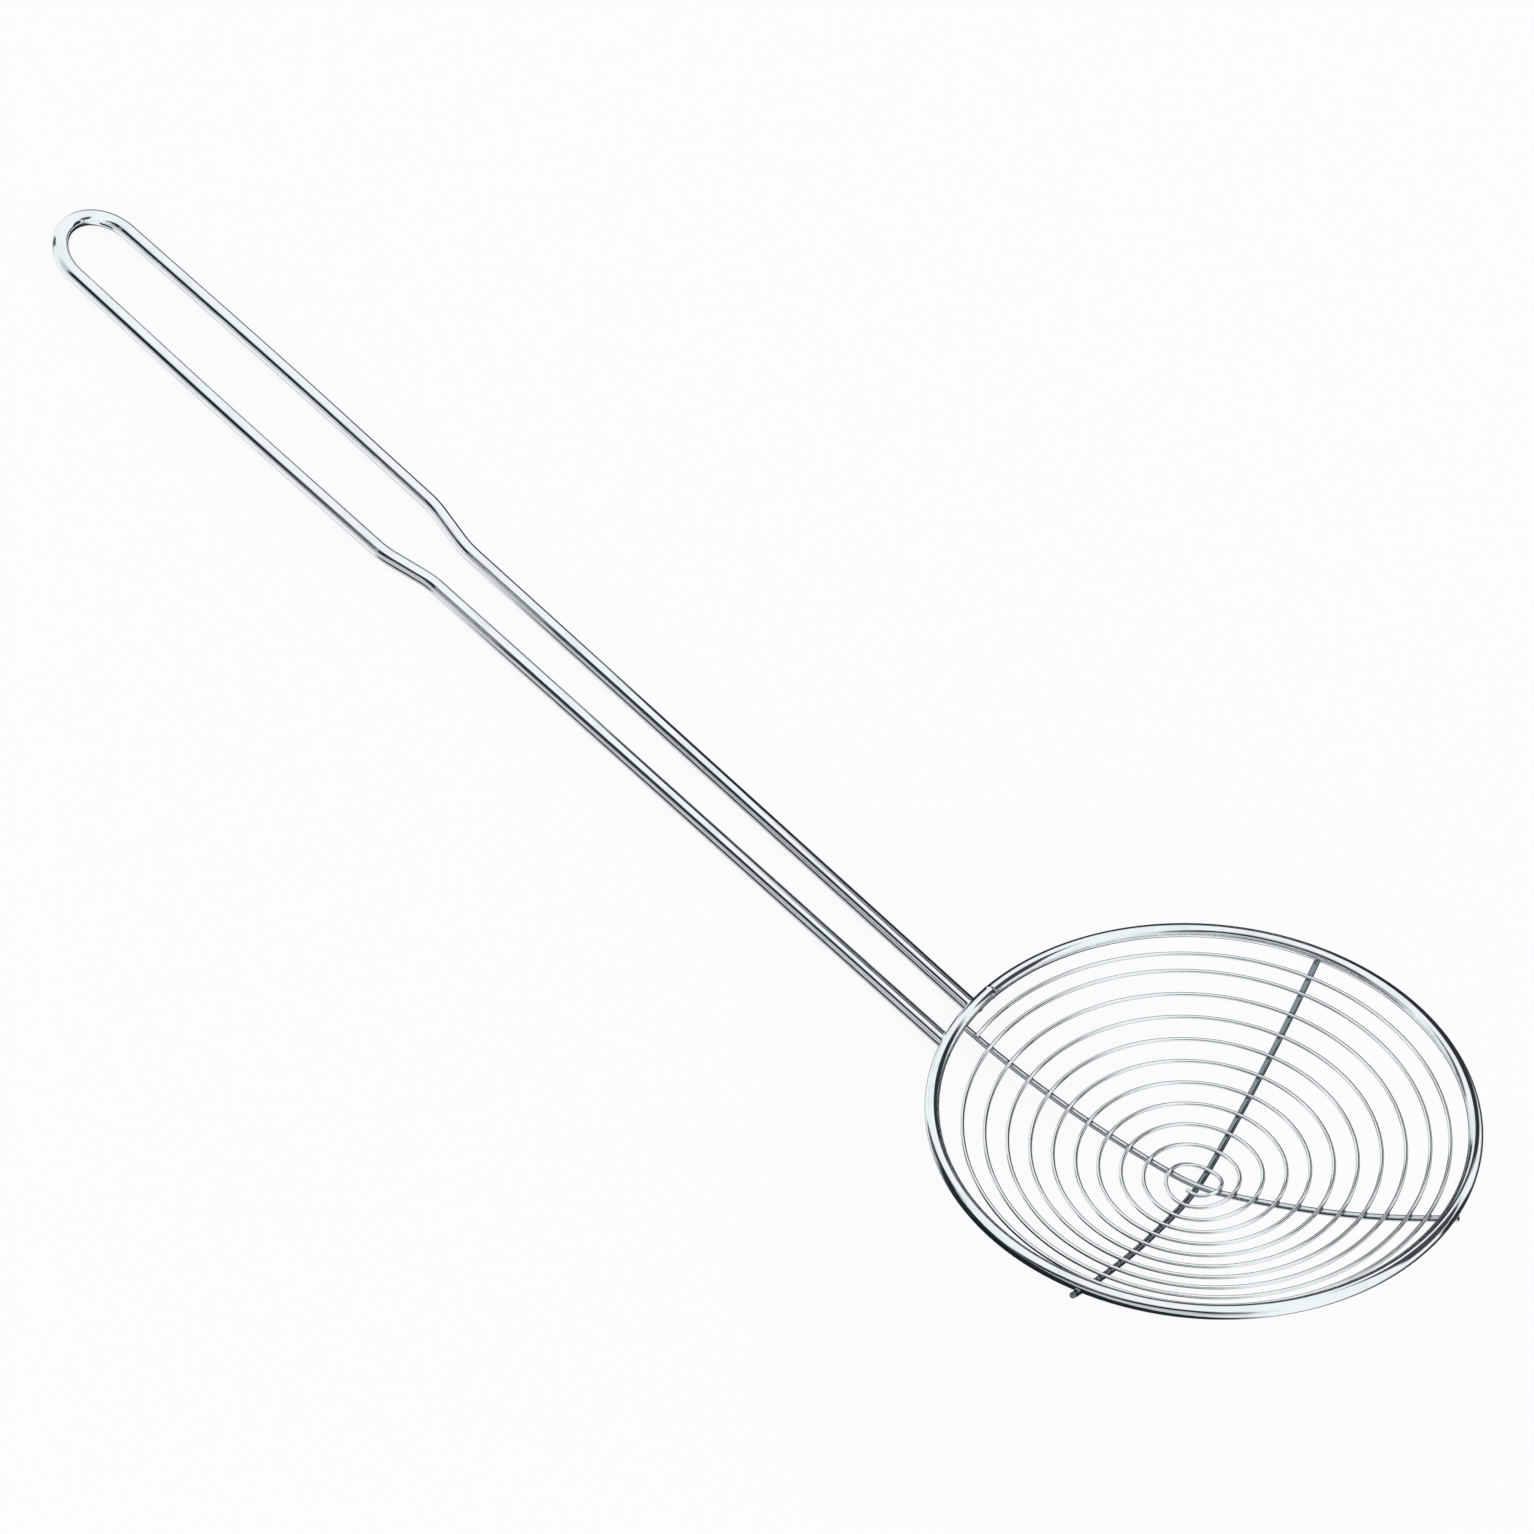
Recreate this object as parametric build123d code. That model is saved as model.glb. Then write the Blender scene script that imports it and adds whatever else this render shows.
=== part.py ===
from build123d import *
import math
import os

# Spider skimmer: a wire bowl under a round rim, on a long hairpin handle.
# All lengths are millimetres. The bowl is drawn level, with its rim in the XY plane
# and the handle towards +X. The handle is drawn flat, as it lies on the table. At the
# end the bowl is tipped onto it, so that the skimmer stands as it comes to rest.

# Rim ring
bowl_diameter = 160.0
ring_wire = 4.2
seam_width = 1.0
seam_height = 0.14
seam_angle = 10.5
ring_sides = 12

# Handle, bent from one length of wire
handle_wire = 4.7
handle_rise = 30.7
handle_reach = 352.4
leg_gap_at_ring = 17.0
leg_gap_at_neck = 18.5
neck_start = 202.5
neck_length = 15.5
neck_bend_radius = 24.0
grip_gap = 27.6
grip_bow_radius = 2200.0
loop_gap = 26.0
leg_tuck = 1.5
leg_end_bevel = 0.6
handle_sides = 12

# Two ribs that cross under the bowl
rib_wire = 1.9
bowl_depth = 27.5
rib_rim_slope = 29.4
rib_bend_radius = 40.0
rib_tuck = 0.6
rib_stub = 2.4
rib_end_bevel = 0.3
rib_sides = 8
slope_halvings = 60

# Spiral that lies on the ribs, wound from the rim to the middle
spiral_wire = 1.15
rim_lap_gap = 4.75
draw_in = 4.55
inner_lap_radius = 6.8
inner_bend_radius = 7.0
hook_radius = 3.7
hook_tail = 1.8
spiral_sides = 6

# The spiral's turns: drawing in from the rim, at the even pitch, and the hook
draw_in_laps = 1.0
even_laps = 9.25
inner_laps = 0.25
hook_laps = 0.25
steps_per_lap = 4
look_share = 0.02

# Welded crossings: the wires are pressed a little into each other
spiral_sink = 0.15
rib_sink = 0.70
ring_sink = 0.30
leg_sink = 0.60
weld_clearance = 0.05

# Worked out from the sizes above
ring_radius = (bowl_diameter - ring_wire) / 2
ring_half = ring_wire / 2
handle_half = handle_wire / 2
rib_half = rib_wire / 2
spiral_half = spiral_wire / 2
leg_half_gap = leg_gap_at_ring / 2
rise = math.radians(handle_rise)


def bent_run(points, radii):
    """Edges of a run through points, with an arc of each radius at the inner points."""
    edges = []
    start = Vector(*points[0])
    for before, corner, after, radius in zip(points, points[1:], points[2:], radii):
        corner = Vector(*corner)
        back = (Vector(*before) - corner).normalized()
        ahead = (Vector(*after) - corner).normalized()
        half_open = math.radians(back.get_angle(ahead)) / 2
        setback = radius / math.tan(half_open)
        middle = (back + ahead).normalized()
        centre = corner + middle * (radius / math.sin(half_open))
        leave = corner + ahead * setback
        edges.append(Line(start, corner + back * setback))
        edges.append(ThreePointArc(corner + back * setback, centre - middle * radius, leave))
        start = leave
    edges.append(Line(start, Vector(*points[-1])))
    return edges


def bent_wire(edges, diameter, sides):
    """A wire along edges that run on smoothly. Its round section is drawn with flat sides."""
    path = Wire(edges)
    start = Plane(path @ 0, z_dir=path % 0)
    return sweep(start * RegularPolygon(diameter / 2, sides), path=path, clean=False)


def blunt_ends(wire, edges, length):
    """The wire with the rims of its two cut ends bevelled."""
    tips = [wire.faces().sort_by_distance(end)[0] for end in (edges[0] @ 0, edges[-1] @ 1)]
    return chamfer(tips[0].edges() + tips[1].edges(), length)


def saddle(point, way, diameter):
    """The straight seat of a wire that crosses a rib at a point, to be cut from that rib."""
    flat_half = diameter / 2 + weld_clearance
    section = RegularPolygon(flat_half, spiral_sides, major_radius=False)
    return extrude(Plane(point, z_dir=way) * section, rib_wire, both=True)


def ring_tube(diameter, turn=360):
    """A level tube along the rim's centreline, or a part of its turn in degrees."""
    section = Plane.XZ * Pos(ring_radius, 0) * RegularPolygon(diameter / 2, ring_sides)
    return revolve(section, Axis.Z, turn)


def make_rim_ring():
    """The rim: one wire closed on itself, with the low raised band of its butt weld."""
    seam = ring_tube(ring_wire + 2 * seam_height, math.degrees(seam_width / ring_radius))
    return ring_tube(ring_wire) + Rot(0, 0, -seam_angle) * seam


class Rib:
    """A rib's centreline in its own upright plane: a middle arc and two flank arcs."""

    def __init__(self, extra_depth):
        self.high = math.radians(rib_rim_slope)
        off_ring = ring_half + rib_half - ring_sink
        self.seat = ring_radius + off_ring * math.sin(self.high)
        self.depth = bowl_depth + extra_depth
        self.low = self.find_joint_slope()
        span = self.seat - rib_bend_radius * math.sin(self.low)
        self.flank_radius = span / (math.sin(self.high) - math.sin(self.low))
        self.bottom = -off_ring * math.cos(self.high) - self.depth
        self.middle_height = self.bottom + rib_bend_radius
        shift = self.flank_radius - rib_bend_radius
        self.flank_across = -shift * math.sin(self.low)
        self.flank_height = self.middle_height + shift * math.cos(self.low)

    def find_joint_slope(self):
        """Slope at which the middle arc gives way to the flanks, found by halving."""
        low, high = 0.0, self.high
        for _ in range(slope_halvings):
            slope = (low + high) / 2
            middle_depth = rib_bend_radius * (1 - math.cos(slope))
            span = self.seat - rib_bend_radius * math.sin(slope)
            if middle_depth + span * math.tan((slope + self.high) / 2) < self.depth:
                low = slope
            else:
                high = slope
        return slope

    def on_flank(self, slope):
        """Point of the centreline where a flank climbs at a slope in radians."""
        across = self.flank_across + self.flank_radius * math.sin(slope)
        return across, self.flank_height - self.flank_radius * math.cos(slope)

    def seated_height(self, radius):
        """Height of the spiral's centreline where it crosses this rib."""
        off = rib_half + spiral_half - spiral_sink
        if radius < (rib_bend_radius - off) * math.sin(self.low):
            return self.middle_height - math.sqrt((rib_bend_radius - off) ** 2 - radius**2)
        reach = radius - self.flank_across
        return self.flank_height - math.sqrt((self.flank_radius - off) ** 2 - reach**2)

    def path(self, plane, overhang):
        """Edges of the centreline in a plane, past its seats under the ring."""
        near = self.high + rib_tuck / self.flank_radius
        far = self.high + (rib_tuck + overhang) / self.flank_radius
        joint = self.on_flank(self.low)
        left = [self.on_flank(slope) for slope in (near, (near + self.low) / 2)]
        right = [self.on_flank(slope) for slope in ((far + self.low) / 2, far)]
        left = [(-across, height) for across, height in left]
        mirror_joint = (-joint[0], joint[1])
        arcs = [
            ThreePointArc(left[0], left[1], mirror_joint),
            ThreePointArc(mirror_joint, (0, self.bottom), joint),
            ThreePointArc(joint, right[0], right[1]),
        ]
        return [plane * arc for arc in arcs]


long_rib_line = Rib(extra_depth=0)
cross_rib_line = Rib(extra_depth=rib_wire - rib_sink)
long_rib_plane = Plane.XZ
cross_rib_plane = Plane.YZ


def spiral_radius(lap):
    """Distance of the spiral's centreline from the bowl's axis, by laps from its start."""
    rim_lap_radius = ring_radius - rim_lap_gap
    stages = [
        (draw_in_laps, rim_lap_radius, rim_lap_radius - draw_in),
        (even_laps, rim_lap_radius - draw_in, inner_lap_radius),
        (inner_laps, inner_lap_radius, inner_bend_radius),
        (hook_laps, inner_bend_radius, hook_radius),
    ]
    for laps, start, end in stages:
        if lap <= laps:
            return start + (end - start) * lap / laps
        lap -= laps
    return hook_radius


def spiral_point(lap):
    """Point of the spiral's centreline. It rides from rib to rib, a quarter lap apart."""
    radius = spiral_radius(lap)
    turn = -2 * math.pi * lap
    on_long = math.cos(turn) ** 2
    height = long_rib_line.seated_height(radius) * on_long
    height += cross_rib_line.seated_height(radius) * (1 - on_long)
    return Vector(radius * math.cos(turn), radius * math.sin(turn), height)


def biarc(start, start_dir, end, end_dir):
    """Two arcs that leave start and reach end in the given directions."""
    chord = end - start
    both = start_dir + end_dir
    spread = 2 * (1 - start_dir.dot(end_dir))
    lean = chord.dot(both)
    reach = (math.sqrt(lean**2 + spread * chord.dot(chord)) - lean) / spread
    first_corner = start + start_dir * reach
    last_corner = end - end_dir * reach
    joint = (first_corner + last_corner) / 2
    arcs = []
    for a, corner, b in ((start, first_corner, joint), (joint, last_corner, end)):
        weight = (b - a).length / (2 * reach)
        arcs.append(ThreePointArc(a, (a + b + corner * (2 * weight)) / (2 + 2 * weight), b))
    return arcs


def spiral_stops():
    """Points where the spiral crosses the ribs, from the rim inwards, with its ways there."""
    laps = draw_in_laps + even_laps + inner_laps + hook_laps
    stops = []
    for step in range(round(laps * steps_per_lap) + 1):
        lap = step / steps_per_lap
        way = spiral_point(lap + look_share) - spiral_point(lap - look_share)
        stops.append((spiral_point(lap), way.normalized()))
    return stops


def spiral_path(stops):
    """The spiral's centreline: two arcs from rib to rib, and a straight tip at each end."""
    first, first_way = stops[0]
    last, last_way = stops[-1]
    edges = [Line(first - first_way * spiral_wire, first)]
    for (start, start_way), (end, end_way) in zip(stops, stops[1:]):
        edges += biarc(start, start_way, end, end_way)
    edges.append(Line(last, last + last_way * hook_tail))
    return edges


def make_handle():
    """The hairpin: two legs, an S-bend in each, a slightly bowed grip and the end loop."""
    loop_radius = loop_gap / 2
    loop_centre = handle_reach - loop_radius
    grip_start = neck_start + neck_length
    grip_middle = (grip_start + loop_centre) / 2
    grip_end_gap = (grip_gap + loop_gap) / 2
    lean = math.atan2(grip_gap / 2, loop_centre - grip_middle)
    slant = math.hypot(grip_gap / 2, loop_centre - grip_middle)
    slope = math.asin(loop_radius / slant) - lean
    touch = (loop_centre - loop_radius * math.sin(slope), loop_radius * math.cos(slope))
    points = [
        (-leg_tuck, leg_half_gap),
        (neck_start, leg_gap_at_neck / 2),
        (grip_start, grip_end_gap / 2),
        (grip_middle, grip_gap / 2),
        touch,
    ]
    radii = [neck_bend_radius, neck_bend_radius, grip_bow_radius]
    back_points = [(across, -aside) for across, aside in reversed(points)]
    edges = bent_run(points, radii)
    edges.append(ThreePointArc(touch, (handle_reach, 0), back_points[0]))
    edges += bent_run(back_points, radii[::-1])
    return blunt_ends(bent_wire(edges, handle_wire, handle_sides), edges, leg_end_bevel)


def bowl_place():
    """Where the level bowl goes, tipped so that its ring is welded onto the flat handle."""
    ring_at_leg = math.sqrt(ring_radius**2 - leg_half_gap**2)
    seat = ring_half + handle_half - leg_sink
    lift = handle_half + seat + ring_at_leg * math.sin(rise)
    return Pos(0, 0, lift) * Rot(0, handle_rise, 0), ring_at_leg * math.cos(rise)


def least_gap(edges, diameter):
    """Least clear distance between a wire's laps, on points of its arcs."""
    shares = [step / (2 * steps_per_lap) for step in range(2 * steps_per_lap)]
    runs = [[edge @ share for share in shares] for edge in edges]
    gaps = []
    for number, run in enumerate(runs):
        for later in runs[number + steps_per_lap :]:
            gaps.append(min((a - b).length for a in run for b in later))
    return min(gaps) - diameter


def build():
    os.makedirs("parts", exist_ok=True)
    long_path = long_rib_line.path(long_rib_plane, 0)
    cross_path = cross_rib_line.path(cross_rib_plane, rib_stub)
    stops = spiral_stops()
    lap_path = spiral_path(stops)
    lap_saddles = [saddle(point, way, spiral_wire) for point, way in stops]
    rib_saddle = saddle((0, 0, long_rib_line.bottom), (1, 0, 0), rib_wire)
    ring_seat = ring_tube(ring_wire + 2 * weld_clearance)

    spiral = bent_wire(lap_path, spiral_wire, spiral_sides)
    long_rib = blunt_ends(bent_wire(long_path, rib_wire, rib_sides), long_path, rib_end_bevel)
    long_rib = long_rib - ring_seat - lap_saddles[::2]
    cross_rib = blunt_ends(bent_wire(cross_path, rib_wire, rib_sides), cross_path, rib_end_bevel)
    cross_rib = cross_rib - ring_seat - rib_saddle - lap_saddles[1::2]

    place, leg_start = bowl_place()
    low_x = -ring_radius * math.cos(rise) - ring_half
    high_x = leg_start + handle_reach + handle_half
    place = Pos(-(low_x + high_x) / 2, 0, 0) * place
    handle = Pos(leg_start - (low_x + high_x) / 2, 0, handle_half) * make_handle()
    handle = handle - place * ring_seat

    nodes = {
        "rim_ring": place * make_rim_ring(),
        "handle_wire": handle,
        "long_rib": place * long_rib,
        "cross_rib": place * cross_rib,
        "spiral_wire": place * spiral,
    }
    for name, solid in nodes.items():
        export_step(solid, f"parts/{name}.step")

    bends = [edge.radius for edge in lap_path if edge.geom_type == GeomType.CIRCLE]
    length = Wire(lap_path).length
    print("spiral length", round(length, 2))
    print("spiral least bend radius", round(min(bends), 3))
    print("spiral least gap to itself", round(least_gap(lap_path, spiral_wire), 3))
    section = RegularPolygon(spiral_half, spiral_sides).area
    print("spiral volume share", round(spiral.volume / (section * length), 6))


build()
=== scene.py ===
import math

import bpy
from mathutils import Matrix, Vector, kdtree


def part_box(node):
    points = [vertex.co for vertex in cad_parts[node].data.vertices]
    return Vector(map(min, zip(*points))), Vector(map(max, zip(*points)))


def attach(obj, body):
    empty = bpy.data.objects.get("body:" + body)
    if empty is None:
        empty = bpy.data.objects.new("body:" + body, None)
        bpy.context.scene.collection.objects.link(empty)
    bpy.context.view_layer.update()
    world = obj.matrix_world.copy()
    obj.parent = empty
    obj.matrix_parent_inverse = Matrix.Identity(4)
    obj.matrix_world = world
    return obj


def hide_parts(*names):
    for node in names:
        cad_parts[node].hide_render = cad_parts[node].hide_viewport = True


# Spider skimmer of bright chromed wire: a bowl wound from thin wire under a round rim,
# on a long hairpin handle. All lengths are metres. The bowl is drawn level and then
# tipped onto the handle, which lies flat on the floor.

MM = 0.001

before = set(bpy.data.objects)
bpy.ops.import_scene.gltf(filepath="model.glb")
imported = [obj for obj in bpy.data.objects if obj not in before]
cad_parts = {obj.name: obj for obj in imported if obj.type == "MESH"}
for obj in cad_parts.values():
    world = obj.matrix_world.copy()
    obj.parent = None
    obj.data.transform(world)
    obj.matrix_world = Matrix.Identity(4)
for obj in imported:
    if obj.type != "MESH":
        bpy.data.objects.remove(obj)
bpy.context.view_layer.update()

# Rim ring
BOWL_DIAMETER = 160.0 * MM
RING_WIRE = 4.2 * MM
SEAM_WIDTH = 1.0 * MM
SEAM_HEIGHT = 0.09 * MM
SEAM_ANGLE = math.radians(10.1)

# Handle, bent from one length of wire
HANDLE_WIRE = 4.7 * MM
HANDLE_RISE = math.radians(30.7)
HANDLE_REACH = 352.4 * MM
LEG_GAP_AT_RING = 17.0 * MM
LEG_GAP_AT_NECK = 18.5 * MM
NECK_START = 202.5 * MM
NECK_LENGTH = 15.5 * MM
NECK_BEND_RADIUS = 24.0 * MM
GRIP_GAP = 27.6 * MM
GRIP_BOW_RADIUS = 2200.0 * MM
LOOP_GAP = 26.0 * MM
LEG_TUCK = 1.5 * MM
LEG_END_ROUND = 0.6 * MM

# Two ribs that cross under the bowl
RIB_WIRE = 1.9 * MM
BOWL_DEPTH = 27.5 * MM
RIB_RIM_SLOPE = math.radians(29.4)
RIB_BEND_RADIUS = 40.0 * MM
RIB_TUCK = 0.6 * MM
RIB_STUB = 2.4 * MM
RIB_END_ROUND = 0.3 * MM
SLOPE_HALVINGS = 60

# Spiral that lies on the ribs, wound from the rim to the middle
SPIRAL_WIRE = 1.15 * MM
RIM_LAP_GAP = 4.75 * MM
DRAW_IN = 4.55 * MM
INNER_LAP_RADIUS = 6.8 * MM
INNER_BEND_RADIUS = 7.0 * MM
HOOK_RADIUS = 3.7 * MM
HOOK_TAIL = 1.8 * MM
SPIRAL_END_ROUND = 0.2 * MM
DRAW_IN_LAPS = 1.0
EVEN_LAPS = 9.25
INNER_LAPS = 0.25
HOOK_LAPS = 0.25
STEPS_PER_LAP = 4
LOOK_SHARE = 0.02

# How far welded wires are pressed into each other
SPIRAL_SINK = 0.15 * MM
RIB_SINK = 0.70 * MM
RING_SINK = 0.30 * MM
LEG_SINK = 0.60 * MM

# Fineness of the meshes
STEP_TURN = math.radians(2.5)
STEP_LENGTH = 1.0 * MM
THICK_WIRE_SIDES = 32
RIB_SIDES = 20
SPIRAL_SIDES = 14
TIP_STEPS = 4
SEAM_STEPS = 4
NUGGET_SIDES = 16
NUGGET_RINGS = 8

# Worked out from the sizes above
RING_RADIUS = (BOWL_DIAMETER - RING_WIRE) / 2
RING_HALF = RING_WIRE / 2
HANDLE_HALF = HANDLE_WIRE / 2
RIB_HALF = RIB_WIRE / 2
SPIRAL_HALF = SPIRAL_WIRE / 2
LEG_HALF_GAP = LEG_GAP_AT_RING / 2

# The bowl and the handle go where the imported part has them
ring_low, ring_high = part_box("rim_ring")
handle_low, handle_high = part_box("handle_wire")
RING_AT_LEG = math.sqrt(RING_RADIUS**2 - LEG_HALF_GAP**2)
ring_centre = Vector((0, 0, HANDLE_WIRE + RING_HALF - LEG_SINK))
ring_centre.x = (ring_low.x + ring_high.x) / 2
ring_centre.z += RING_AT_LEG * math.sin(HANDLE_RISE)
bowl_place = Matrix.Translation(ring_centre) @ Matrix.Rotation(HANDLE_RISE, 4, "Y")
handle_start = handle_high.x - HANDLE_HALF - HANDLE_REACH
handle_place = Matrix.Translation((handle_start, 0, HANDLE_HALF))


def bent_run(points, radii):
    """Runs through points, with an arc of each radius at the inner points.

    A run is its start, the corner that its arc turns round, or None where it is straight,
    and its end.
    """
    runs = []
    start = Vector(points[0])
    for before, corner, after, radius in zip(points, points[1:], points[2:], radii):
        corner = Vector(corner)
        back = (Vector(before) - corner).normalized()
        ahead = (Vector(after) - corner).normalized()
        setback = radius / math.tan(back.angle(ahead) / 2)
        runs.append((start, None, corner + back * setback))
        runs.append((corner + back * setback, corner, corner + ahead * setback))
        start = corner + ahead * setback
    runs.append((start, None, Vector(points[-1])))
    return runs


def walk(runs):
    """Points along runs, close enough together for a smooth wire."""
    points = [runs[0][0]]
    for start, corner, end in runs:
        steps = math.ceil((end - start).length / STEP_LENGTH)
        if corner is None:
            points += [start.lerp(end, step / steps) for step in range(1, steps + 1)]
            continue
        weight = (end - start).length / (2 * (corner - start).length)
        steps = max(steps, math.ceil(2 * math.acos(min(weight, 1)) / STEP_TURN))
        for step in range(1, steps + 1):
            share = step / steps
            a, b, c = (1 - share) ** 2, 2 * share * (1 - share) * weight, share**2
            points.append((start * a + corner * b + end * c) / (a + b + c))
    return points


def make_mesh(name, vertices, faces, places, place):
    """A smooth mesh object. Each vertex keeps its place on the wire for the finish."""
    mesh = bpy.data.meshes.new(name)
    mesh.from_pydata([place @ vertex for vertex in vertices], [], faces)
    mesh.shade_smooth()
    on_wire = mesh.attributes.new("on_wire", "FLOAT_VECTOR", "POINT")
    on_wire.data.foreach_set("vector", [number for spot in places for number in spot])
    # Each vertex also gets a mask for the painted shade near the welds.
    mesh.attributes.new("weld_shade_mark", "FLOAT", "POINT")
    piece = bpy.data.objects.new(name, mesh)
    bpy.context.scene.collection.objects.link(piece)
    return piece


def rounded_tips(points, tip):
    """Stations of a wire with rounded ends: each a point and how much thinner it is there."""
    stations = []
    for step in range(TIP_STEPS, 0, -1):
        turn = math.pi / 2 * step / TIP_STEPS
        stations.append((tip * (1 - math.sin(turn)), tip * (1 - math.cos(turn))))
    first_way = (points[1] - points[0]).normalized()
    last_way = (points[-2] - points[-1]).normalized()
    starts = [(points[0] + first_way * along, thinner) for along, thinner in stations]
    ends = [(points[-1] + last_way * along, thinner) for along, thinner in reversed(stations)]
    middle = [(points[0] + first_way * tip, 0), *[(point, 0) for point in points[1:-1]]]
    middle.append((points[-1] + last_way * tip, 0))
    return starts + middle + ends


def wire_mesh(name, stations, diameter, sides, place, closed=False):
    """A round wire through stations. Its section is carried along without twisting."""
    points = [point for point, _ in stations]
    count = len(points)
    ways = []
    for number in range(count):
        after = points[(number + 1) % count] if closed else points[min(number + 1, count - 1)]
        before = points[number - 1] if closed else points[max(number - 1, 0)]
        ways.append((after - before).normalized())
    side = ways[0].orthogonal().normalized()
    vertices, places = [], []
    along = 0.0
    for number, (point, thinner) in enumerate(stations):
        if number:
            side = ways[number - 1].rotation_difference(ways[number]) @ side
            along += (point - points[number - 1]).length
        other = ways[number].cross(side)
        radius = diameter / 2 - thinner
        for corner in range(sides):
            turn = 2 * math.pi * corner / sides
            out = side * math.cos(turn) + other * math.sin(turn)
            vertices.append(point + out * radius)
            places.append((radius * math.cos(turn), radius * math.sin(turn), along))
    faces = []
    for number in range(count if closed else count - 1):
        ring, following = number * sides, (number + 1) % count * sides
        for corner in range(sides):
            beside = (corner + 1) % sides
            faces.append((ring + corner, ring + beside, following + beside, following + corner))
    if not closed:
        faces.append(tuple(range(sides - 1, -1, -1)))
        faces.append(tuple(range((count - 1) * sides, count * sides)))
    return make_mesh(name, vertices, faces, places, place)


class Rib:
    """A rib's centreline in its own upright plane: a middle arc and two flank arcs."""

    def __init__(self, across, extra_depth):
        self.across = Vector(across)
        self.high = RIB_RIM_SLOPE
        off_ring = RING_HALF + RIB_HALF - RING_SINK
        self.seat = RING_RADIUS + off_ring * math.sin(self.high)
        self.depth = BOWL_DEPTH + extra_depth
        self.low = self.find_joint_slope()
        span = self.seat - RIB_BEND_RADIUS * math.sin(self.low)
        self.flank_radius = span / (math.sin(self.high) - math.sin(self.low))
        self.bottom = -off_ring * math.cos(self.high) - self.depth
        self.middle_height = self.bottom + RIB_BEND_RADIUS
        shift = self.flank_radius - RIB_BEND_RADIUS
        self.flank_across = -shift * math.sin(self.low)
        self.flank_height = self.middle_height + shift * math.cos(self.low)
        self.off = RIB_HALF + SPIRAL_HALF - SPIRAL_SINK

    def find_joint_slope(self):
        """Slope at which the middle arc gives way to the flanks, found by halving."""
        low, high = 0.0, self.high
        for _ in range(SLOPE_HALVINGS):
            slope = (low + high) / 2
            middle_depth = RIB_BEND_RADIUS * (1 - math.cos(slope))
            span = self.seat - RIB_BEND_RADIUS * math.sin(slope)
            if middle_depth + span * math.tan((slope + self.high) / 2) < self.depth:
                low = slope
            else:
                high = slope
        return slope

    def slope_at(self, radius):
        """Slope of the rib where the spiral lies on it, this far from the bowl's axis."""
        middle_reach = RIB_BEND_RADIUS - self.off
        if radius < middle_reach * math.sin(self.low):
            return math.asin(radius / middle_reach)
        return math.asin((radius - self.flank_across) / (self.flank_radius - self.off))

    def seated_height(self, radius):
        """Height of the spiral's centreline where it crosses this rib."""
        slope = self.slope_at(radius)
        if slope < self.low:
            return self.middle_height - (RIB_BEND_RADIUS - self.off) * math.cos(slope)
        return self.flank_height - (self.flank_radius - self.off) * math.cos(slope)

    def arc(self, centre_across, centre_height, radius, slopes):
        """A run of the centreline from one slope to another, on one circle."""
        start, end = slopes
        middle, half = (start + end) / 2, (end - start) / 2
        spots = ((start, radius), (middle, radius / math.cos(half)), (end, radius))
        run = []
        for slope, reach in spots:
            height = centre_height - reach * math.cos(slope)
            run.append(self.across * (centre_across + reach * math.sin(slope)) + Vector((0, 0, height)))
        return tuple(run)

    def runs(self, overhang):
        """The centreline, past its seats under the ring."""
        near = self.high + RIB_TUCK / self.flank_radius
        far = self.high + (RIB_TUCK + overhang) / self.flank_radius
        flank = (self.flank_height, self.flank_radius)
        return [
            self.arc(-self.flank_across, *flank, (-near, -self.low)),
            self.arc(0, self.middle_height, RIB_BEND_RADIUS, (-self.low, self.low)),
            self.arc(self.flank_across, *flank, (self.low, far)),
        ]


long_rib = Rib((1, 0, 0), 0)
cross_rib = Rib((0, 1, 0), RIB_WIRE - RIB_SINK)


def spiral_radius(lap):
    """Distance of the spiral's centreline from the bowl's axis, by laps from its start."""
    rim_lap_radius = RING_RADIUS - RIM_LAP_GAP
    stages = [
        (DRAW_IN_LAPS, rim_lap_radius, rim_lap_radius - DRAW_IN),
        (EVEN_LAPS, rim_lap_radius - DRAW_IN, INNER_LAP_RADIUS),
        (INNER_LAPS, INNER_LAP_RADIUS, INNER_BEND_RADIUS),
        (HOOK_LAPS, INNER_BEND_RADIUS, HOOK_RADIUS),
    ]
    for laps, start, end in stages:
        if lap <= laps:
            return start + (end - start) * lap / laps
        lap -= laps
    return HOOK_RADIUS


def spiral_point(lap):
    """Point of the spiral's centreline. It rides from rib to rib, a quarter lap apart."""
    radius = spiral_radius(lap)
    turn = -2 * math.pi * lap
    on_long = math.cos(turn) ** 2
    height = long_rib.seated_height(radius) * on_long
    height += cross_rib.seated_height(radius) * (1 - on_long)
    return Vector((radius * math.cos(turn), radius * math.sin(turn), height))


def spiral_stops():
    """Points where the spiral crosses the ribs, from the rim inwards, with its ways there."""
    laps = DRAW_IN_LAPS + EVEN_LAPS + INNER_LAPS + HOOK_LAPS
    stops = []
    for step in range(round(laps * STEPS_PER_LAP) + 1):
        lap = step / STEPS_PER_LAP
        way = spiral_point(lap + LOOK_SHARE) - spiral_point(lap - LOOK_SHARE)
        stops.append((spiral_point(lap), way.normalized()))
    return stops


def biarc(start, start_way, end, end_way):
    """Two arcs that leave start and reach end in the given ways."""
    chord = end - start
    both = start_way + end_way
    spread = 2 * (1 - start_way.dot(end_way))
    lean = chord.dot(both)
    reach = (math.sqrt(lean**2 + spread * chord.dot(chord)) - lean) / spread
    first_corner = start + start_way * reach
    last_corner = end - end_way * reach
    joint = (first_corner + last_corner) / 2
    return [(start, first_corner, joint), (joint, last_corner, end)]


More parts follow.
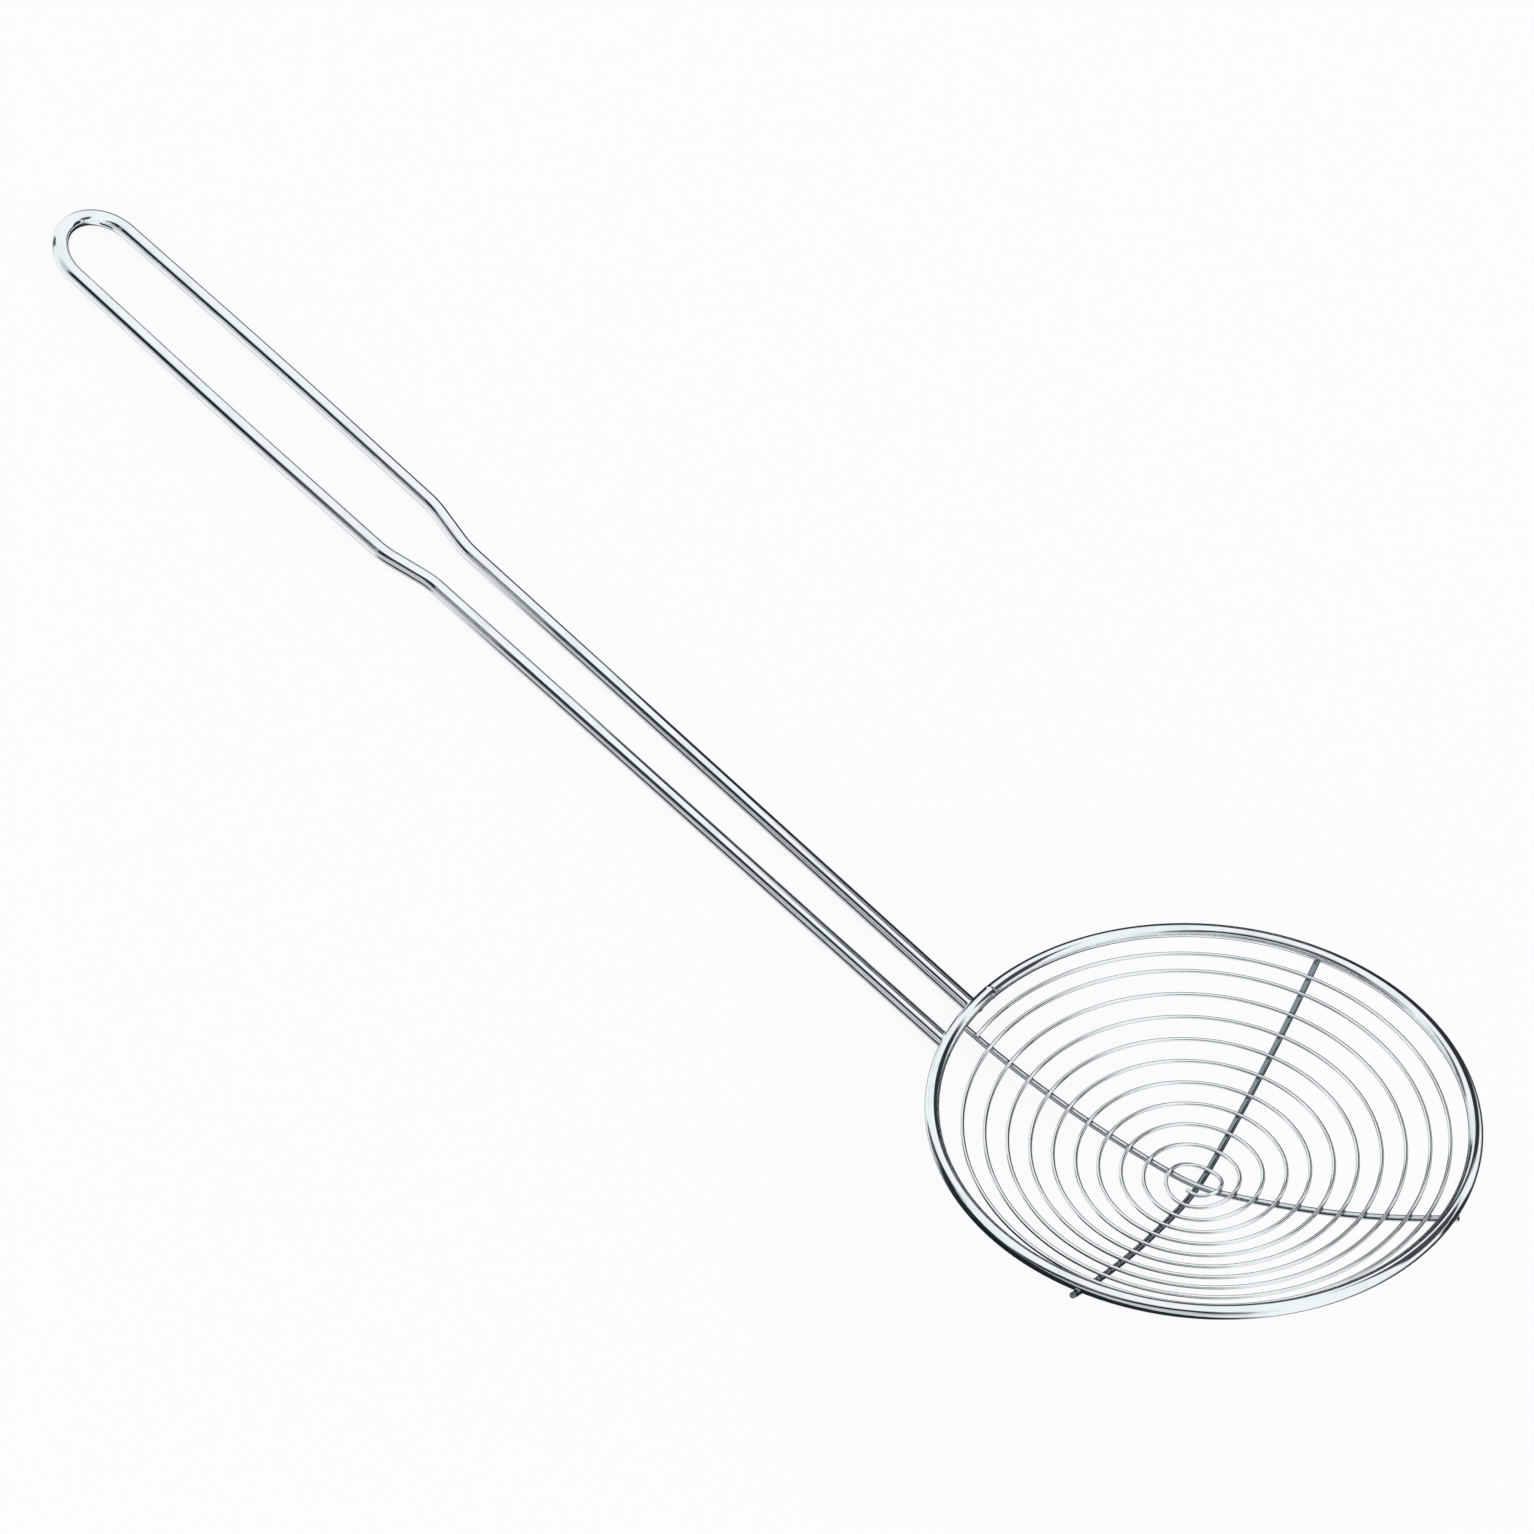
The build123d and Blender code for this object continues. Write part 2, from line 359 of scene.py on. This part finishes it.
def spiral_runs(stops):
    """The spiral's centreline, with a straight tip at each end."""
    first, first_way = stops[0]
    last, last_way = stops[-1]
    runs = [(first - first_way * SPIRAL_WIRE, None, first)]
    for (start, start_way), (end, end_way) in zip(stops, stops[1:]):
        runs += biarc(start, start_way, end, end_way)
    runs.append((last, None, last + last_way * HOOK_TAIL))
    return runs


def handle_runs():
    """The hairpin: two legs, an S-bend in each, a slightly bowed grip and the end loop."""
    loop_radius = LOOP_GAP / 2
    loop_centre = HANDLE_REACH - loop_radius
    grip_start = NECK_START + NECK_LENGTH
    grip_middle = (grip_start + loop_centre) / 2
    grip_end_gap = (GRIP_GAP + LOOP_GAP) / 2
    lean = math.atan2(GRIP_GAP / 2, loop_centre - grip_middle)
    slant = math.hypot(GRIP_GAP / 2, loop_centre - grip_middle)
    slope = math.asin(loop_radius / slant) - lean
    touch_across = loop_centre - loop_radius * math.sin(slope)
    touch_aside = loop_radius * math.cos(slope)
    corner_aside = touch_aside + (HANDLE_REACH - touch_across) * math.tan(slope)
    points = [
        (-LEG_TUCK, LEG_HALF_GAP, 0),
        (NECK_START, LEG_GAP_AT_NECK / 2, 0),
        (grip_start, grip_end_gap / 2, 0),
        (grip_middle, GRIP_GAP / 2, 0),
        (touch_across, touch_aside, 0),
    ]
    radii = [NECK_BEND_RADIUS, NECK_BEND_RADIUS, GRIP_BOW_RADIUS]
    back_points = [(across, -aside, 0) for across, aside, _ in reversed(points)]
    top = Vector((HANDLE_REACH, 0, 0))
    corner = Vector((HANDLE_REACH, corner_aside, 0))
    back_corner = Vector((HANDLE_REACH, -corner_aside, 0))
    loop = [
        (Vector(points[-1]), corner, top),
        (top, back_corner, Vector(back_points[0])),
    ]
    return bent_run(points, radii) + loop + bent_run(back_points, radii[::-1])


def make_rim():
    """The rim, one wire closed on itself, swelling a little at its ground-down butt weld."""
    turns = [STEP_TURN * step for step in range(round(2 * math.pi / STEP_TURN))]
    seam_reach = SEAM_WIDTH / RING_RADIUS
    seam_steps = range(-2 * SEAM_STEPS, 2 * SEAM_STEPS + 1)
    near_seam = [seam_reach * step / SEAM_STEPS for step in seam_steps]
    turns = [turn for turn in turns if near_seam[-1] < turn < 2 * math.pi + near_seam[0]]
    stations = []
    for turn in near_seam + turns:
        swell = SEAM_HEIGHT * math.exp(-((2 * turn / seam_reach) ** 2))
        angle = turn - SEAM_ANGLE
        point = Vector((RING_RADIUS * math.cos(angle), RING_RADIUS * math.sin(angle), 0))
        stations.append((point, -swell))
    return wire_mesh("rim_wire", stations, RING_WIRE, THICK_WIRE_SIDES, bowl_place, closed=True)


def make_nugget(spot, across_lower, across_upper, out, sizes):
    """Metal squeezed out between two crossed wires: a saddle that hugs both of them."""
    half_upper, half_lower, thickness = sizes
    vertices, faces = [], []
    for ring in range(1, NUGGET_RINGS):
        tilt = math.pi * ring / NUGGET_RINGS
        for corner in range(NUGGET_SIDES):
            turn = 2 * math.pi * corner / NUGGET_SIDES
            u, v = math.sin(tilt) * math.cos(turn), math.sin(tilt) * math.sin(turn)
            lift = thickness * (math.cos(tilt) + u * u - v * v)
            side = across_lower * (u * half_lower) + across_upper * (v * half_upper)
            vertices.append(spot + side + out * lift)
    top = len(vertices)
    vertices.append(spot + out * thickness)
    vertices.append(spot - out * thickness)
    for ring in range(NUGGET_RINGS - 2):
        for corner in range(NUGGET_SIDES):
            beside = (corner + 1) % NUGGET_SIDES
            a, b = ring * NUGGET_SIDES, (ring + 1) * NUGGET_SIDES
            faces.append((a + corner, b + corner, b + beside, a + beside))
    last = (NUGGET_RINGS - 2) * NUGGET_SIDES
    for corner in range(NUGGET_SIDES):
        beside = (corner + 1) % NUGGET_SIDES
        faces.append((top, corner, beside))
        faces.append((last + beside, last + corner, top + 1))
    return vertices, faces


def join_nuggets(name, nuggets, place):
    """One object that holds many nuggets."""
    vertices, faces = [], []
    for spots, loops in nuggets:
        faces += [tuple(number + len(vertices) for number in loop) for loop in loops]
        vertices += spots
    return make_mesh(name, vertices, faces, [tuple(spot) for spot in vertices], place)


# Weld nuggets, as half lengths across the upper wire and across the lower one, and thickness
SPIRAL_NUGGET = (0.80 * MM, 1.00 * MM, 0.20 * MM)
RIB_NUGGET = (1.10 * MM, 1.10 * MM, 0.35 * MM)
RING_NUGGET = (1.10 * MM, 1.00 * MM, 0.35 * MM)
LEG_NUGGET = (2.40 * MM, 2.70 * MM, 0.75 * MM)

UP = Vector((0, 0, 1))


def spiral_nuggets(stops):
    """A nugget at each crossing of the spiral with a rib, and their contact points."""
    nuggets, spots = [], []
    for number, (point, way) in enumerate(stops):
        rib = cross_rib if number % 2 else long_rib
        radius = math.hypot(point.x, point.y)
        slope = rib.slope_at(radius)
        outward = rib.across * math.copysign(1, rib.across.dot(point))
        along_rib = outward * math.cos(slope) + UP * math.sin(slope)
        down = outward * math.sin(slope) - UP * math.cos(slope)
        spot = point + down * (SPIRAL_HALF - SPIRAL_SINK / 2)
        nuggets.append(make_nugget(spot, way, along_rib, -down, SPIRAL_NUGGET))
        spots.append(spot)
    return nuggets, spots


def rib_nuggets():
    """Nuggets where the ribs cross and where their ends sit under the ring."""
    spot = Vector((0, 0, long_rib.bottom - RIB_HALF + RIB_SINK / 2))
    nuggets = [make_nugget(spot, Vector((1, 0, 0)), Vector((0, 1, 0)), UP, RIB_NUGGET)]
    spots = [spot]
    for rib in (long_rib, cross_rib):
        for side in (-1, 1):
            outward = rib.across * side
            along_rib = outward * math.cos(rib.high) + UP * math.sin(rib.high)
            up = UP * math.cos(rib.high) - outward * math.sin(rib.high)
            spot = outward * RING_RADIUS - up * (RING_HALF - RING_SINK / 2)
            around = UP.cross(outward)
            nuggets.append(make_nugget(spot, around, along_rib, up, RING_NUGGET))
            spots.append(spot)
    return nuggets, spots


def leg_nuggets():
    """Nuggets where the ring sits on the two leg ends."""
    nuggets, spots = [], []
    for side in (-1, 1):
        around = Vector((-side * LEG_HALF_GAP, RING_AT_LEG, 0)).normalized()
        spot = Vector((0, side * LEG_HALF_GAP, HANDLE_HALF - LEG_SINK / 2))
        nuggets.append(make_nugget(spot, around, Vector((1, 0, 0)), UP, LEG_NUGGET))
        spots.append(spot)
    return nuggets, spots


def shade_near_welds(pieces, spots, reach):
    """Keeps with each vertex how near it is to a weld, from 0 to 1: the mask of the painted shade
    there.
    """
    tree = kdtree.KDTree(len(spots))
    for number, spot in enumerate(spots):
        tree.insert(spot, number)
    tree.balance()
    for piece in pieces:
        marks = piece.data.attributes["weld_shade_mark"]
        for number, vertex in enumerate(piece.data.vertices):
            distance = tree.find(vertex.co)[2]
            shade_share = math.exp(-((distance / reach) ** 2))
            marks.data[number].value = max(marks.data[number].value, shade_share)


class Value:
    """A shader socket that gives a number, so that sums on it read as Python."""

    def __init__(self, socket):
        self.socket = socket

    def out(self, name):
        """Another output of the same node."""
        return Value(self.socket.node.outputs[name])

    def math(self, operation, *terms):
        """A Math node on this value and others."""
        shader = Shader(self.socket.id_data)
        return shader.node("Math", {"operation": operation}, dict(enumerate(terms)))

    def __add__(self, other):
        return self.math("ADD", self, other)

    def __sub__(self, other):
        return self.math("SUBTRACT", self, other)

    def __rsub__(self, other):
        return self.math("SUBTRACT", other, self)

    def __mul__(self, other):
        return self.math("MULTIPLY", self, other)

    def __truediv__(self, other):
        return self.math("DIVIDE", self, other)

    def __pow__(self, other):
        return self.math("POWER", self, other)

    def __abs__(self):
        return self.math("ABSOLUTE", self)

    __radd__ = __add__
    __rmul__ = __mul__

    def smooth(self, low, high):
        """From 0 at low to 1 at high, with soft ends."""
        span = {"interpolation_type": "SMOOTHSTEP"}
        shader = Shader(self.socket.id_data)
        return shader.node("MapRange", span, {"Value": self, "From Min": low, "From Max": high})


class Shader:
    """A node tree, filled by one method."""

    def __init__(self, tree):
        self.tree = tree

    def node(self, kind, settings=None, sockets=None):
        """Adds a node of a kind: its settings come first, then values or links."""
        new = self.tree.nodes.new("ShaderNode" + kind)
        for name, value in (settings or {}).items():
            setattr(new, name, value)
        for name, value in (sockets or {}).items():
            if isinstance(value, Value):
                self.tree.links.new(value.socket, new.inputs[name])
            else:
                new.inputs[name].default_value = value
        return Value(new.outputs[0]) if new.outputs else new

    def blend(self, share, first, second):
        """One colour turning into another."""
        kind = {"data_type": "RGBA"}
        mixed = self.node("Mix", kind, {"Factor": share, "A": first, "B": second})
        return Value(mixed.socket.node.outputs[2])


def fresh_shader(owner):
    """The empty node tree of a material or of the world."""
    owner.use_nodes = True
    owner.node_tree.nodes.clear()
    return Shader(owner.node_tree)


# Chromed wire: bright on the ring, the handle and the spiral. The two ribs get a darker colour as
# painted shade, for the dark room they reflect, and the wire near each weld and joint is darkened
# with painted contact shade. A smudge tints it a little.
BRIGHT_CHROME = (0.90, 0.925, 0.93, 1)
LONG_RIB_SHADED_CHROME = (0.72, 0.76, 0.77, 1)
CROSS_RIB_SHADED_CHROME = (0.24, 0.28, 0.30, 1)
# Painted shade: the dark colour of the wire next to a weld.
WELD_SHADE_COLOUR = (0.07, 0.09, 0.10, 1)
SMUDGE_TINT = (0.91, 0.92, 0.925, 1)
POLISHED_ROUGHNESS = 0.04
SMUDGE_ROUGHNESS = 0.06
WELD_ROUGHNESS = 0.22
SMUDGES_PER_METRE = 90.0
SMUDGE_DETAIL = 3.0
SMUDGE_START = 0.45
SMUDGE_FULL = 0.70
LINES_PER_METRE = 9000.0
LINE_DETAIL = 2.0
LINE_STRETCH = 0.02
LINE_DEPTH = 0.004 * MM
PITS_PER_METRE = 2600.0
PIT_DEPTH = 3
WELD_SHADE_BASE = 0.55
WELD_SHADE_START = 0.25
WELD_SHADE_FULL = 0.85


def chrome_finish(name, chrome_colour):
    """Chromed drawn wire: fine lines along it, faint smudges, and rough pitted welds with painted
    contact shade that darkens the wire round them.
    """
    material = bpy.data.materials.new(name)
    shader = fresh_shader(material)
    on_wire = shader.node("Attribute", {"attribute_name": "on_wire"}).out("Vector")
    weld_shade = shader.node("Attribute", {"attribute_name": "weld_shade_mark"}).out("Fac")
    cloudy = {"Vector": on_wire, "Scale": SMUDGES_PER_METRE, "Detail": SMUDGE_DETAIL}
    smudges = shader.node("TexNoise", {}, cloudy).smooth(SMUDGE_START, SMUDGE_FULL)
    stretch = {"Location": (0, 0, 0), "Scale": (1, 1, LINE_STRETCH)}
    drawn = shader.node("Mapping", {}, {"Vector": on_wire, **stretch})
    fine = {"Vector": drawn, "Scale": LINES_PER_METRE, "Detail": LINE_DETAIL}
    lines = shader.node("TexNoise", {}, fine)
    pits = shader.node("TexNoise", {}, {"Vector": on_wire, "Scale": PITS_PER_METRE})
    smudged = tuple(part * tint for part, tint in zip(chrome_colour, SMUDGE_TINT))
    handled = shader.blend(smudges, chrome_colour, smudged)
    # Painted contact shade near the welds; the same mask also roughens and pits the wire there.
    weld_marks_and_shade = (weld_shade * (WELD_SHADE_BASE + pits)).smooth(WELD_SHADE_START, WELD_SHADE_FULL)
    colour = shader.blend(weld_marks_and_shade, handled, WELD_SHADE_COLOUR)
    roughness = POLISHED_ROUGHNESS + smudges * SMUDGE_ROUGHNESS + weld_marks_and_shade * WELD_ROUGHNESS
    relief = {"Height": lines + pits * weld_marks_and_shade * PIT_DEPTH, "Distance": LINE_DEPTH, "Strength": 1.0}
    surface = {
        "Base Color": colour,
        "Metallic": 1.0,
        "Roughness": roughness,
        "Normal": shader.node("Bump", {}, relief),
    }
    chrome = shader.node("BsdfPrincipled", {}, surface)
    shader.node("OutputMaterial", {}, {"Surface": chrome})
    return material


# The studio round the skimmer is white, with cards far off that show only in the chrome.
# Each card is its heading and height above the horizon, its half width and half height
# and its tilt, all in degrees, how soft its edge is, and how dark it is from 0 to 1.
CARDS = [
    (-2, -22, 8, 28, -18, 0.6, 0.90),
    (-110, -50, 60, 60, 0, 0.3, 0.97),
    (85, 8, 46, 42, 0, 0.7, 0.36),
]
CARD_COLOUR = (0.008, 0.016, 0.020, 1)
ROOM_COLOUR = (0.94, 0.985, 1.0, 1)
WHITE = (1, 1, 1, 1)

# Dark flags that stand near the skimmer. Each is its middle, its lean in degrees, the way
# it faces, its half width and half height, how soft its edge is, and how dark it is.
FLAGS = {
    "rim_flag": ((-0.10, -0.25, 0.06), 0, "Y", 0.14, 0.22, 0.20, 0.98),
    "leg_flag": ((0.06, -0.25, -0.08), 0, "Y", 0.13, 0.17, 0.30, 0.97),
    "end_flag": ((-0.54, -0.25, 0.20), 0, "Y", 0.11, 0.12, 0.30, 0.98),
    "top_flag": ((-0.32, -0.22, 0.45), 0, "Z", 0.27, 0.13, 0.30, 0.95),
    "front_flag": ((-0.12, 0.25, -0.42), 0, "Y", 0.23, 0.28, 0.20, 0.98),
    "ledge_flag": ((-0.12, 0.19, -0.001), 0, "Z", 0.22, 0.135, 0.15, 0.99),
    "core_flag": ((0.05, 0.60, 0.44), -47.8, "Y", 0.46, 0.24, 0.50, 0.98),
    "grip_flag": ((0.34, 0.60, 0.24), 0, "Y", 0.17, 0.27, 0.80, 1.0),
    "side_flag": ((-0.36, 0.60, 0.60), 48.7, "Y", 0.24, 0.17, 0.60, 0.95),
}


def card_cover(shader, way, card):
    """How much of the view in a way a card covers."""
    heading, height, half_width, half_height, tilt, softness, darkness = card
    turn = math.radians(heading)
    ahead = way.out("X") * math.cos(turn) + way.out("Y") * math.sin(turn)
    aside = way.out("Y") * math.cos(turn) - way.out("X") * math.sin(turn)
    flat = (ahead * ahead + aside * aside) ** 0.5
    across = aside.math("ARCTAN2", aside, ahead) * math.degrees(1)
    climb = flat.math("ARCTAN2", way.out("Z"), flat) * math.degrees(1) - height
    lean = math.radians(tilt)
    along = across * math.cos(lean) + climb * math.sin(lean)
    up = climb * math.cos(lean) - across * math.sin(lean)
    return soft_patch(along / half_width, up / half_height, softness) * darkness


CORNER_POWER = 4


def soft_patch(across, up, softness):
    """1 inside a patch with round corners that reaches from -1 to 1, and 0 outside it."""
    reach = abs(across) ** CORNER_POWER + abs(up) ** CORNER_POWER
    return (reach ** (1 / CORNER_POWER)).smooth(1 + softness / 2, 1 - softness / 2)


def hang_flag(name, middle, lean, facing, half_width, half_height, softness, darkness):
    """A dark card near the skimmer, which shows only in the chrome."""
    mesh = bpy.data.meshes.new(name)
    edge = 1 + softness / 2
    corners = [(-edge, -edge, 0), (edge, -edge, 0), (edge, edge, 0), (-edge, edge, 0)]
    mesh.from_pydata(corners, [], [(0, 1, 2, 3)])
    flag = bpy.data.objects.new(name, mesh)
    upright = Matrix.Rotation(math.radians(90 if facing == "Y" else 0), 4, "X")
    turned = upright @ Matrix.Rotation(math.radians(lean), 4, "Z")
    size = Matrix.Diagonal((half_width, half_height, 1, 1))
    flag.matrix_world = Matrix.Translation(middle) @ turned @ size
    bpy.context.scene.collection.objects.link(flag)
    cloth = bpy.data.materials.new(name)
    shader = fresh_shader(cloth)
    spot = shader.node("TexCoord").out("Object")
    place = shader.node("SeparateXYZ", {}, {"Vector": spot})
    cover = soft_patch(place, place.out("Y"), softness) * darkness
    clear = shader.node("BsdfTransparent")
    dark = shader.node("Emission", {}, {"Color": CARD_COLOUR})
    both = shader.node("MixShader", {}, {0: cover, 1: clear, 2: dark})
    shader.node("OutputMaterial", {}, {"Surface": both})
    mesh.materials.append(cloth)
    flag.visible_camera = False
    flag.visible_diffuse = False
    flag.visible_shadow = False
    flag.visible_transmission = False


def light_studio():
    """White light from all round, and the cards for glossy rays alone."""
    world = bpy.data.worlds.new("studio")
    bpy.context.scene.world = world
    shader = fresh_shader(world)
    heading = shader.node("TexCoord").out("Generated")
    way = shader.node("SeparateXYZ", {}, {"Vector": heading})
    clear = 1.0
    for card in CARDS:
        clear = clear * (1 - card_cover(shader, way, card))
    mirrored = shader.blend(clear, CARD_COLOUR, ROOM_COLOUR)
    glossy = shader.node("LightPath").out("Is Glossy Ray")
    colour = shader.blend(glossy, WHITE, mirrored)
    light = shader.node("Background", {}, {"Color": colour, "Strength": 1.0})
    shader.node("OutputWorld", {}, {"Surface": light})
    for name, flag in FLAGS.items():
        hang_flag(name, *flag)


FLOOR_SIZE = 8.0
FLOOR_DROP = 0.05 * MM
FLOOR_COLOUR = (0.985, 0.975, 0.99, 1)
FLOOR_GLOW = 0.9


def make_floor():
    """A pale floor that the skimmer lies on. It doesn't show in the chrome."""
    half = FLOOR_SIZE / 2
    mesh = bpy.data.meshes.new("floor")
    corners = [(-half, -half, 0), (half, -half, 0), (half, half, 0), (-half, half, 0)]
    mesh.from_pydata(corners, [], [(0, 1, 2, 3)])
    floor = bpy.data.objects.new("floor", mesh)
    floor.location.z = -FLOOR_DROP
    bpy.context.scene.collection.objects.link(floor)
    paper = bpy.data.materials.new("floor_paper")
    shader = fresh_shader(paper)
    sheet = shader.node("BsdfDiffuse", {}, {"Color": FLOOR_COLOUR})
    glow = shader.node("Emission", {}, {"Color": FLOOR_COLOUR})
    seen = shader.node("LightPath").out("Is Camera Ray") * FLOOR_GLOW
    paper_look = shader.node("MixShader", {}, {0: seen, 1: sheet, 2: glow})
    shader.node("OutputMaterial", {}, {"Surface": paper_look})
    mesh.materials.append(paper)
    floor.visible_glossy = False


# The photograph's view, as angles round the ring's centre from the level bowl
FRAME_PIXELS = 1534
RING_CENTRE_PIXEL = (1203.06, 1112.46)
FOCAL_PIXELS = 4608.7
VIEW_AZIMUTH = math.radians(-149.90)
VIEW_ELEVATION = math.radians(40.26)
VIEW_ROLL = math.radians(0.06)
VIEW_DISTANCE = 1324.3 * MM
SENSOR_WIDTH = 36.0


def place_camera():
    """The camera at the photograph's place, with the ring's centre on its pixel."""
    flat = math.cos(VIEW_ELEVATION)
    back = Vector((math.sin(VIEW_AZIMUTH) * flat, -math.cos(VIEW_AZIMUTH) * flat, 0))
    back.z = math.sin(VIEW_ELEVATION)
    level_right = UP.cross(back).normalized()
    level_up = back.cross(level_right)
    right = level_right * math.cos(VIEW_ROLL) + level_up * math.sin(VIEW_ROLL)
    up = level_up * math.cos(VIEW_ROLL) - level_right * math.sin(VIEW_ROLL)
    middle = FRAME_PIXELS / 2
    aside = (middle - RING_CENTRE_PIXEL[0]) / FOCAL_PIXELS * VIEW_DISTANCE
    above = (RING_CENTRE_PIXEL[1] - middle) / FOCAL_PIXELS * VIEW_DISTANCE
    spot = right * aside + up * above + back * VIEW_DISTANCE
    lens = bpy.data.cameras.new("photo_camera")
    lens.sensor_width = SENSOR_WIDTH
    lens.lens = FOCAL_PIXELS / FRAME_PIXELS * SENSOR_WIDTH
    camera = bpy.data.objects.new("photo_camera", lens)
    turned = Matrix((right, up, back)).transposed().to_4x4()
    camera.matrix_world = bowl_place @ Matrix.Translation(spot) @ turned
    bpy.context.scene.collection.objects.link(camera)
    bpy.context.scene.camera = camera


def dress(piece, material, slot, *nodes):
    """Gives a piece its finish and ties it to the part, in place of the nodes it stands for."""
    piece.data.materials.append(material)
    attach(piece, "root")
    if nodes:
        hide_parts(*nodes)


# How far the painted shade reaches round the welds and the rim's seam.
WELD_SHADE_REACH = 1.25 * MM
SPIRAL_SHADE_REACH = 0.75 * MM
LEG_SHADE_REACH = 2.3 * MM
SEAM_SHADE_REACH = 0.9 * MM
SEAM_SHADE_TILT = math.radians(40)


def make_skimmer():
    """All the wires and their welds, each with its finish."""
    stops = spiral_stops()
    spiral_stations = rounded_tips(walk(spiral_runs(stops)), SPIRAL_END_ROUND)
    long_stations = rounded_tips(walk(long_rib.runs(0)), RIB_END_ROUND)
    cross_stations = rounded_tips(walk(cross_rib.runs(RIB_STUB)), RIB_END_ROUND)
    handle_stations = rounded_tips(walk(handle_runs()), LEG_END_ROUND)

    rim = make_rim()
    handle = wire_mesh(
        "handle_hairpin", handle_stations, HANDLE_WIRE, THICK_WIRE_SIDES, handle_place
    )
    long_wire = wire_mesh("long_rib_wire", long_stations, RIB_WIRE, RIB_SIDES, bowl_place)
    cross_wire = wire_mesh("cross_rib_wire", cross_stations, RIB_WIRE, RIB_SIDES, bowl_place)
    winding = wire_mesh("spiral_winding", spiral_stations, SPIRAL_WIRE, SPIRAL_SIDES, bowl_place)

    lap_nuggets, lap_spots = spiral_nuggets(stops)
    rib_lumps, rib_spots = rib_nuggets()
    leg_lumps, leg_spots = leg_nuggets()
    lap_welds = join_nuggets("spiral_welds", lap_nuggets, bowl_place)
    rib_welds = join_nuggets("rib_welds", rib_lumps, bowl_place)
    leg_welds = join_nuggets("leg_welds", leg_lumps, handle_place)

    small_spots = [bowl_place @ spot for spot in lap_spots + rib_spots]
    large_spots = [handle_place @ spot for spot in leg_spots]
    # The wires are darkened round their welds with painted contact shade.
    shade_near_welds([long_wire, cross_wire, lap_welds, rib_welds], small_spots, WELD_SHADE_REACH)
    shade_near_welds([winding], small_spots, SPIRAL_SHADE_REACH)
    shade_near_welds([rim, handle, leg_welds], large_spots, LEG_SHADE_REACH)

    # The rim gets the same painted shade round its seam.
    seam_way = Vector((math.cos(SEAM_ANGLE), -math.sin(SEAM_ANGLE), 0))
    seam_spot = seam_way * (RING_RADIUS - RING_HALF * math.cos(SEAM_SHADE_TILT))
    seam_spot += UP * (RING_HALF * math.sin(SEAM_SHADE_TILT))
    shade_near_welds([rim], [bowl_place @ seam_spot], SEAM_SHADE_REACH)

    rim_chrome = chrome_finish("rim_chrome", BRIGHT_CHROME)
    handle_chrome = chrome_finish("handle_chrome", BRIGHT_CHROME)
    # The rib finishes are darker as painted shade, standing in for the dark reflections on the ribs.
    long_rib_shaded_chrome = chrome_finish("long_rib_shaded_chrome", LONG_RIB_SHADED_CHROME)
    cross_rib_shaded_chrome = chrome_finish("cross_rib_shaded_chrome", CROSS_RIB_SHADED_CHROME)
    spiral_chrome = chrome_finish("spiral_chrome", BRIGHT_CHROME)
    dress(rim, rim_chrome, "rim_steel", "rim_ring")
    dress(handle, handle_chrome, "handle_steel", "handle_wire")
    dress(long_wire, long_rib_shaded_chrome, "rib_steel", "long_rib")
    dress(cross_wire, cross_rib_shaded_chrome, "rib_steel", "cross_rib")
    dress(winding, spiral_chrome, "spiral_steel", "spiral_wire")
    dress(lap_welds, spiral_chrome, "spiral_steel")
    dress(rib_welds, long_rib_shaded_chrome, "rib_steel")
    dress(leg_welds, handle_chrome, "handle_steel")


make_skimmer()
make_floor()
light_studio()
place_camera()
bpy.context.scene.view_settings.view_transform = "Standard"
